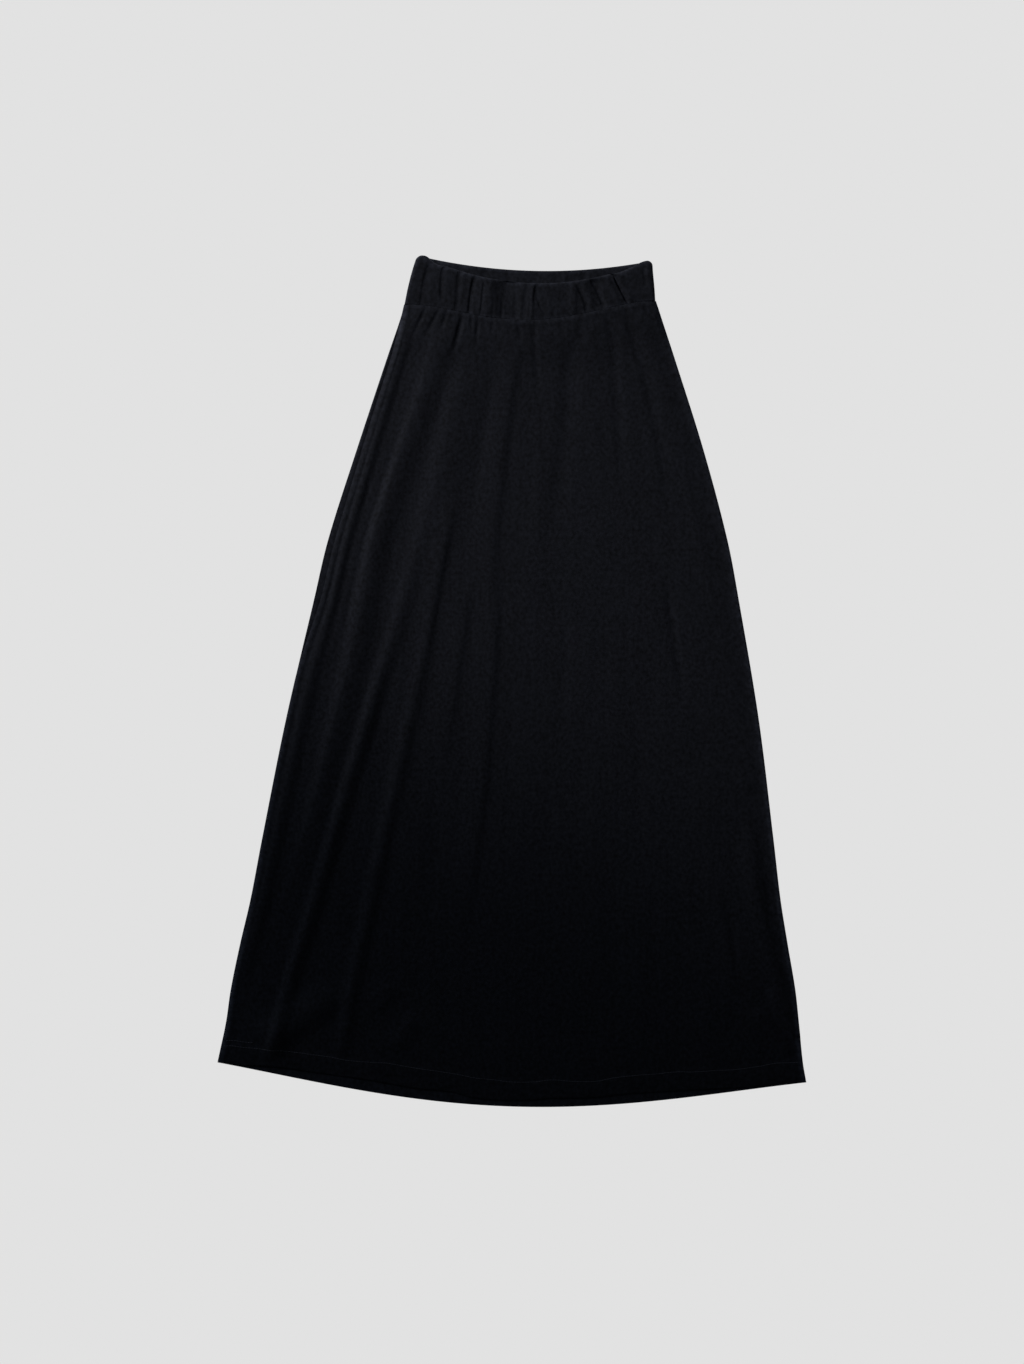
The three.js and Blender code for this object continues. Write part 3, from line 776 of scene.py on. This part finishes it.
def thread_material():
    """Black polyester sewing thread with its twist."""
    nodes = Nodes("black_thread")
    twist = nodes.add("ShaderNodeTexWave", wave_type="BANDS", bands_direction="DIAGONAL")
    nodes.join(nodes.place(), twist.inputs["Vector"])
    twist.inputs["Scale"].default_value = THREAD_TWIST["scale"]
    twisted = twist.outputs["Fac"]
    share = nodes.maths("MULTIPLY", twisted, THREAD_TWIST["contrast"])
    tone = nodes.maths("ADD", share, THREAD_TWIST["darkest"])
    normal = nodes.bump(twisted, distance=0.0001, strength=0.5)
    inputs = {"Base Color": nodes.toned(BLACK_THREAD, tone), "Normal": normal, **THREAD_SURFACE}
    return nodes.finished("ShaderNodeBsdfPrincipled", inputs)


PANEL_JERSEY = jersey_material("black_jersey")
BAND_JERSEY = jersey_material("black_jersey_waistband")
THREAD = thread_material()

# The cloth pieces, with the origin in the middle of the CAD model's underside


def shift_to_cad():
    """The shift from the tables' own origin to the CAD model's, from the back panel's box."""
    across, down = panel_grid(*PROBE_GRID)
    x, y, _ = panel_plan(across, down, BACK_SEAM_SAG, 0.0)
    low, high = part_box("skirt_back")
    return (low.x + high.x) / 2 / MM - (x.min() + x.max()) / 2, low.y / MM - y.min()


SHIFT_X, SHIFT_Y = shift_to_cad()


def recentred(x, y):
    return x + SHIFT_X, y + SHIFT_Y


def seam_roll(down):
    """How much the left seam is rolled towards the front, from 0 to 1, and how wide the roll is."""
    rolled = smooth(*SEAM_ROLL["starts"], down) * (1 - smooth(*SEAM_ROLL["ends"], down))
    return rolled, rolled * mix(*SEAM_ROLL["width"], smooth(*SEAM_ROLL["widens"], down))


def rise_at_seam(down, from_side):
    """How far the front panel's top stands up to meet the waistband."""
    off_side = smooth(0, SEAM_RISE["side_width"], from_side)
    at_corner = SEAM_RISE["corner"] * (1 - smooth(0, SEAM_RISE["corner_depth"], down))
    rise = SEAM_RISE["height"] * (1 - smooth(SEAM_RISE["from"], SEAM_RISE["to"], down))
    welt = SEAM_WELT["height"] * ridge(down - SEAM_WELT["at"], SEAM_WELT["reach"])
    return rise * mix(at_corner, 1, off_side) + welt * off_side


def hem_wall(above_hem, stitch, fade):
    """The cloth's thickness: more where the hem is turned up, as far as its stitches."""
    turned_up = 1 - smooth(stitch - HEM_FADE["below"], stitch + fade, above_hem)
    return mix(JERSEY_WALL, HEM_WALL, turned_up)


def half_thickness(wall, from_side, above_hem, down, hem_round):
    """Half the cloth's thickness, rounded off at its four edges."""
    edge = np.minimum(rounded(from_side, SIDE_ROUND), rounded(above_hem, hem_round))
    return wall / 2 * np.minimum(edge, rounded(down, SEAM_ROUND))


def joined(y, down):
    """The panel's top edge, drawn up to where the waistband ends."""
    return y + SEAM_JOIN * (1 - smooth(0, 1, down))


def make_front_panel():
    across, down = panel_grid(*FRONT_GRID)
    x, y, half = panel_plan(across, down, FRONT_SEAM_SAG, front_hem_lift(across))
    above_hem = PANEL_LENGTH - down
    from_left = (1 + across) * half
    from_side = (1 - np.abs(across)) * half
    stitch = front_stitch_line(across)

    inside = smooth(0, LOFT["side"], 1 - np.abs(across))
    loft = LOFT["height"] * inside * smooth(0, LOFT["hem"], above_hem)
    relief = creases(FOLDS, across, down, half) + creases(SOFT_CREASES, across, down, half)
    relief += cross_folds(x, y) + gathers_below_seam(across, down, half)
    relief += inside * ripples(FRONT_RIPPLES, x, y)
    relief = np.maximum(rise_at_seam(down, from_side) + loft + relief, 0)
    relief *= mix(HEM_RELIEF["share"], 1, smooth(0, HEM_RELIEF["reach"], above_hem))
    off_hem = smooth(HEM_REST["wall_from"], HEM_REST["wall_to"], above_hem)
    base = mix(HEM_WALL + HEM_REST["gap"], JERSEY_WALL + LAYER_GAP, off_hem) + relief

    rolled, roll_width = seam_roll(down)
    x = x + roll_width * (1 - smooth(0, SEAM_ROLL["pull"], from_left))
    on_roll = ridge(from_left - SEAM_ROLL["front_at"], SEAM_ROLL["front_reach"])
    base += SEAM_ROLL["front_rise"] * rolled * on_roll

    wall = hem_wall(above_hem, stitch, HEM_FADE["front"])
    allowance = SEAM_ALLOWANCE["rise"] * smooth(*SEAM_ALLOWANCE["begins"], from_side)
    allowance *= 1 - smooth(*SEAM_ALLOWANCE["ends"], from_side)
    allowance *= smooth(0, SEAM_ALLOWANCE["above_hem"], above_hem)
    pucker = ripples(HEM_PUCKERS, x, y) * ridge(above_hem - stitch, PUCKER_REACH)
    ditch = DITCH["front"] * ridge(above_hem - stitch, DITCH["reach"])
    middle = base + wall / 2 + allowance + pucker
    wall = wall * mix(HEM_TAPER["share"], 1, smooth(0, HEM_TAPER["reach"], above_hem))
    half_thick = half_thickness(wall, from_side, above_hem, down, FRONT_HEM_ROUND)

    # Painted highlights along the side rims and just below the waist seam, stronger towards the hem and
    # fainter on the rolled seam
    at, reach = RIMS["front_side_at"]
    strength = mix(*RIMS["front_side"], smooth(*RIMS["front_side_grows"], down))
    painted_light = strength * ridge(from_side - at, reach)
    painted_light *= 1 - RIMS["front_side_rolled"] * rolled * (across < 0)
    painted_light += painted_rim_light("front_seam", down)
    top = middle + half_thick - ditch
    bottom = middle - half_thick
    x, y = recentred(x, joined(y, down))
    return cloth_object("front_panel", x, y, top, bottom, PANEL_JERSEY, painted_light, returned=FRONT_RETURN)


def make_back_panel():
    across, down = panel_grid(*BACK_GRID)
    x, y, half = panel_plan(across, down, BACK_SEAM_SAG, 0.0)
    above_hem = PANEL_LENGTH - down
    from_side = (1 - np.abs(across)) * half

    inside = smooth(0, BACK_RELIEF["side"], 1 - np.abs(across)) * smooth(*BACK_RELIEF["hem"], above_hem)
    inside *= smooth(0, BACK_RELIEF["seam"], down)
    relief = creases(BACK_CREASES, across, down, half) + BACK_RELIEF["ground"]
    relief += ripples(BACK_RIPPLES, x, y)
    relief = np.clip(relief * inside, 0, BACK_RELIEF["limit"])

    rolled, roll_width = seam_roll(down)
    from_roll = (1 + across) * half - np.maximum(roll_width - SEAM_ROLL["back_inset"], 0)
    relief += SEAM_ROLL["back_rise"] * rolled * uneven_ridge(from_roll, *SEAM_ROLL["back_reach"])
    at_corner = 1 - smooth(*BACK_CORNER["from_side"], from_side)
    relief += BACK_CORNER["rise"] * at_corner * (1 - smooth(0, BACK_CORNER["depth"], down))

    wall = hem_wall(above_hem, HEM_DEPTH, HEM_FADE["back"])
    ditch = DITCH["back"] * ridge(above_hem - HEM_DEPTH, DITCH["reach"])
    half_thick = half_thickness(wall, from_side, above_hem, down, BACK_HEM_ROUND)
    middle = relief + wall / 2
    # Painted light: highlights at the hem's edge and along the rolled seam, and a lighter strip inside
    # the hem that lightens the shadow the front hem casts on it
    strength, from_height, to_height = RIMS["back_hem_inside"]
    painted_light = painted_rim_light("back_hem", above_hem) + strength * (1 - smooth(from_height, to_height, above_hem))
    painted_light += rolled * painted_rim_light("back_roll", from_roll)
    top = middle + half_thick - ditch
    bottom = middle - half_thick + ditch
    x, y = recentred(x, joined(y, down))
    return cloth_object("back_panel", x, y, top, bottom, PANEL_JERSEY, painted_light)


def make_band(name, is_front, top_sag, seam_sag, table, grid):
    """One side of the waistband: elastic in its casing, rounded at the top and drawn in at the seam."""
    across, depth = band_grid(*grid)
    waves = edge_waves(across) if is_front else 0.0
    x, y, half, from_top, to_seam = band_plan(across, depth, top_sag, seam_sag, waves)
    from_side = (1 - np.abs(across)) * half
    relief = band_gathers(table, across, depth, half) + ripples(BAND_RIPPLES, x, y)
    relief *= smooth(0, BAND_CORNER, from_side)
    relief *= mix(BAND_RELIEF["seam_share"], 1, smooth(0, BAND_RELIEF["reach"], to_seam))

    full = rounded(from_side, BAND_SIDE_ROUND) * rounded(from_top, BAND_TOP_ROUND)
    at_seam = 1 - smooth(0, BAND_SEAM["reach"], to_seam)
    flattened = BAND_SEAM["share"] * CASING_WALL * at_seam
    flattened += BAND_SEAM["seam"] * (1 - rounded(to_seam, BAND_SEAM_ROUND))
    lift = 0.5 * CASING_WALL * (1 - full)
    drawn_up = 0.0
    if is_front:
        # It lies on the back and sinks towards it at the sides
        at_side = 1 - smooth(0, BAND_SINK["reach"], from_side)
        lift += CASING_WALL + LAYER_GAP - BAND_SINK["depth"] * at_side
        drawn_up = BAND_SEAM["drawn_up"] * at_seam
    else:
        # It rises too little to reach the front
        relief = np.minimum(relief, BACK_BAND_LIMIT)
    top = lift + (CASING_WALL + relief - flattened) * full
    bottom = np.minimum(lift + drawn_up, top)
    # Painted highlights along the band's sides, its top edge and its seam
    painted_light = painted_rim_light("band_side", from_side) + painted_rim_light("band_top", from_top)
    painted_light += painted_rim_light("band_seam", to_seam)
    return cloth_object(name, *recentred(x, y), top, bottom, BAND_JERSEY, painted_light)


front = make_front_panel()
back = make_back_panel()
band_front = make_band(
    "waistband_front_cloth", True, FRONT_TOP_SAG, FRONT_SEAM_SAG, BAND_GATHERS, BAND_FRONT_GRID
)
band_back = make_band(
    "waistband_back_cloth", False, BACK_TOP_SAG, BACK_SEAM_SAG, BACK_BAND_RIPPLES, BAND_BACK_GRID
)


# Sewing

STITCH_LENGTH = 2.9
STITCH_GAP = 0.4
STITCH_ARCH = 0.16
STITCH_SINK = 0.06
THREAD_RADIUS = 0.3
THREAD_SIDES = 6
LOOK_AHEAD = 0.2
TINY = 1e-9

# A stitch's rings: the share of its length, and the share of the thread's radius there
STITCH_PROFILE = ((0.0, 0.35), (0.12, 0.85), (0.5, 1.0), (0.88, 0.85), (1.0, 0.35))

# Points along a row for each unit of `across`, where the rows start and end across the panel, and how
# far above the first row its other end runs. The height from which rays are cast at a cloth is in
# metres.
ROW_POINTS = 450
WHOLE_HEM = (-0.992, 0.992)
OVERLAP = (-0.988, -0.89)
OVERLAP_RISE = 6.5
RAY_START = 0.1


def unit(vector):
    return vector / (np.linalg.norm(vector) + TINY)


def stitch_rings(point_at, start, facing):
    """The rings of points round one stitch: a short arched thread with thinner ends."""
    angles = np.arange(THREAD_SIDES) * 2 * math.pi / THREAD_SIDES
    rings = []
    for share, width in STITCH_PROFILE:
        at = start + share * STITCH_LENGTH
        centre = point_at(at)
        along = unit(point_at(at + LOOK_AHEAD) - centre)
        side = unit(np.cross(along, (0, 0, 1.0)))
        up = np.cross(side, along)
        arch = facing * (STITCH_ARCH * math.sin(math.pi * share) - STITCH_SINK)
        radius = THREAD_RADIUS * width
        sideways = np.outer(np.cos(angles) * radius, side)
        rings.append(centre + sideways + np.outer(np.sin(angles) * radius + arch, up))
    return rings


def stitch_faces(first):
    """The faces of one stitch whose points start at number `first`."""
    ring_count = len(STITCH_PROFILE)
    following = [(corner + 1) % THREAD_SIDES for corner in range(THREAD_SIDES)]
    faces = []
    for ring in range(ring_count - 1):
        low = first + ring * THREAD_SIDES
        high = low + THREAD_SIDES
        faces += [(low + a, low + b, high + b, high + a) for a, b in enumerate(following)]
    last = first + (ring_count - 1) * THREAD_SIDES
    start_tip = last + THREAD_SIDES
    end_tip = start_tip + 1
    for a, b in enumerate(following):
        faces.append((first + b, first + a, start_tip))
        faces.append((last + a, last + b, end_tip))
    return faces


def stitch_row(name, points, facing):
    """A row of stitches along a line of points, on a cloth that faces up (1) or down (-1)."""
    steps = np.concatenate([[0], np.cumsum(np.linalg.norm(np.diff(points, axis=0), axis=1))])

    def point_at(distance):
        return np.array([np.interp(distance, steps, points[:, axis]) for axis in range(3)])

    pitch = STITCH_LENGTH + STITCH_GAP
    points_each = THREAD_SIDES * len(STITCH_PROFILE) + 2
    all_points = []
    all_faces = []
    for number in range(int(steps[-1] / pitch)):
        rings = stitch_rings(point_at, number * pitch, facing)
        all_points += rings + [rings[0].mean(0)[None], rings[-1].mean(0)[None]]
        all_faces += stitch_faces(number * points_each)
    mesh = bpy.data.meshes.new(name)
    mesh.from_pydata((np.concatenate(all_points) * MM).tolist(), [], all_faces)
    return shown(name, mesh, THREAD)


def surface_height(cloth, x, y, facing):
    """The height of a cloth's upper or lower face at places in plan, found by casting rays."""
    tree = BVHTree.FromObject(cloth, bpy.context.evaluated_depsgraph_get())
    heights = []
    height = 0.0
    for px, py in zip(x, y):
        start = Vector((px * MM, py * MM, RAY_START * facing))
        hit = tree.ray_cast(start, Vector((0, 0, -facing)))[0]
        height = height if hit is None else hit.z / MM
        heights.append(height)
    return np.array(heights)


def hem_stitches(name, cloth, ends, stitch, lift, seam_sag, facing):
    across = np.linspace(*ends, round(ROW_POINTS * (ends[1] - ends[0])))
    x, y, _ = panel_plan(across, PANEL_LENGTH - stitch(across), seam_sag, lift(across))
    x, y = recentred(x, y)
    return stitch_row(name, np.stack([x, y, surface_height(cloth, x, y, facing)], -1), facing)


front_stitches = hem_stitches(
    "hem_stitches_front", front, WHOLE_HEM, front_stitch_line, front_hem_lift, FRONT_SEAM_SAG, 1
)
# Where the row of stitches starts and ends, its two ends run beside each other
overlap_stitches = hem_stitches(
    "hem_stitches_overlap",
    front,
    OVERLAP,
    lambda across: front_stitch_line(across) + OVERLAP_RISE,
    front_hem_lift,
    FRONT_SEAM_SAG,
    1,
)
back_stitches = hem_stitches(
    "hem_stitches_back",
    back,
    WHOLE_HEM,
    lambda across: np.full_like(across, HEM_DEPTH),
    np.zeros_like,
    BACK_SEAM_SAG,
    -1,
)

for piece, node in (
    (front, "skirt_front"),
    (back, "skirt_back"),
    (band_front, "waistband_front"),
    (band_back, "waistband_back"),
):
    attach(piece, "root")
    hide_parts(node)
for piece in (front_stitches, overlap_stitches, back_stitches):
    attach(piece, "root")

# The stage, in metres: a pale floor, soft light from the waist end and a camera straight above

PALE = (0.7605, 0.7605, 0.7605, 1.0)
FLOOR_HALF = 12.0
FLOOR_DROP = 0.0002
KEY_AZIMUTH = math.radians(134)
KEY_HEIGHT = math.radians(22)
KEY_DISTANCE = 5.0
KEY_CENTRE_Y = 0.15


def make_floor():
    nodes = Nodes("pale_floor")
    material = nodes.finished("ShaderNodeEmission", {"Color": PALE})
    corners = np.array([(-1, -1, 0), (1, -1, 0), (1, 1, 0), (-1, 1, 0)]) * FLOOR_HALF
    floor = mesh_object("floor", corners, np.array([(0, 1, 2, 3)]), material)
    floor.location.z = -FLOOR_DROP


def add_light(name, kind, place, target, **settings):
    """A light at one place that is aimed at another."""
    data = bpy.data.lights.new(name, kind)
    for key, value in settings.items():
        setattr(data, key, value)
    light = placed(bpy.data.objects.new(name + "_light", data))
    light.location = place
    light.rotation_euler = (Vector(target) - Vector(place)).to_track_quat("-Z", "Y").to_euler()


make_floor()
add_light(
    "key",
    "SPOT",
    place=(
        KEY_DISTANCE * math.cos(KEY_HEIGHT) * math.cos(KEY_AZIMUTH),
        KEY_CENTRE_Y + KEY_DISTANCE * math.cos(KEY_HEIGHT) * math.sin(KEY_AZIMUTH),
        KEY_DISTANCE * math.sin(KEY_HEIGHT),
    ),
    target=(-1.51, 2.96, 0),
    energy=870.0,
    color=(0.985, 0.95, 0.98),
    spot_size=math.radians(73.6),
    spot_blend=0.12,
    shadow_soft_size=0.14,
)
add_light(
    "side",
    "AREA",
    place=(-2.4, 2.5, 1.35),
    target=(0, -0.25, 0),
    shape="DISK",
    size=1.2,
    energy=51.0,
    color=(0.79, 0.86, 1.0),
)
add_light(
    "fill",
    "AREA",
    place=(0, 0.2, 2.9),
    target=(0, 0, 0),
    shape="RECTANGLE",
    size=2.6,
    size_y=2.6,
    energy=7.0,
    color=(0.74, 0.84, 1.0),
)

scene = bpy.context.scene
world = bpy.data.worlds.new("studio")
world.use_nodes = True
background = world.node_tree.nodes["Background"]
background.inputs["Color"].default_value = PALE
background.inputs["Strength"].default_value = 1.0
world.cycles_visibility.diffuse = False
world.cycles_visibility.glossy = False
scene.world = world

scene.view_settings.view_transform = "Standard"
scene.view_settings.look = "None"
scene.view_settings.exposure = 0.0
scene.view_settings.gamma = 1.0

# The camera frames the photo's height at the cloth's level
IMAGE_HEIGHT = 1364
MM_PER_PIXEL = 1.2
CLOTH_LEVEL = 0.003
CAMERA_PLACE = (0.0001, -0.0006, 2.6)
SENSOR = 36.0
lens = bpy.data.cameras.new("camera")
lens.sensor_width = SENSOR
lens.lens = SENSOR * (CAMERA_PLACE[2] - CLOTH_LEVEL) / (IMAGE_HEIGHT * MM_PER_PIXEL * MM)
lens.clip_start = 0.01
lens.clip_end = 50.0
camera = placed(bpy.data.objects.new("camera", lens))
camera.location = CAMERA_PLACE
scene.camera = camera
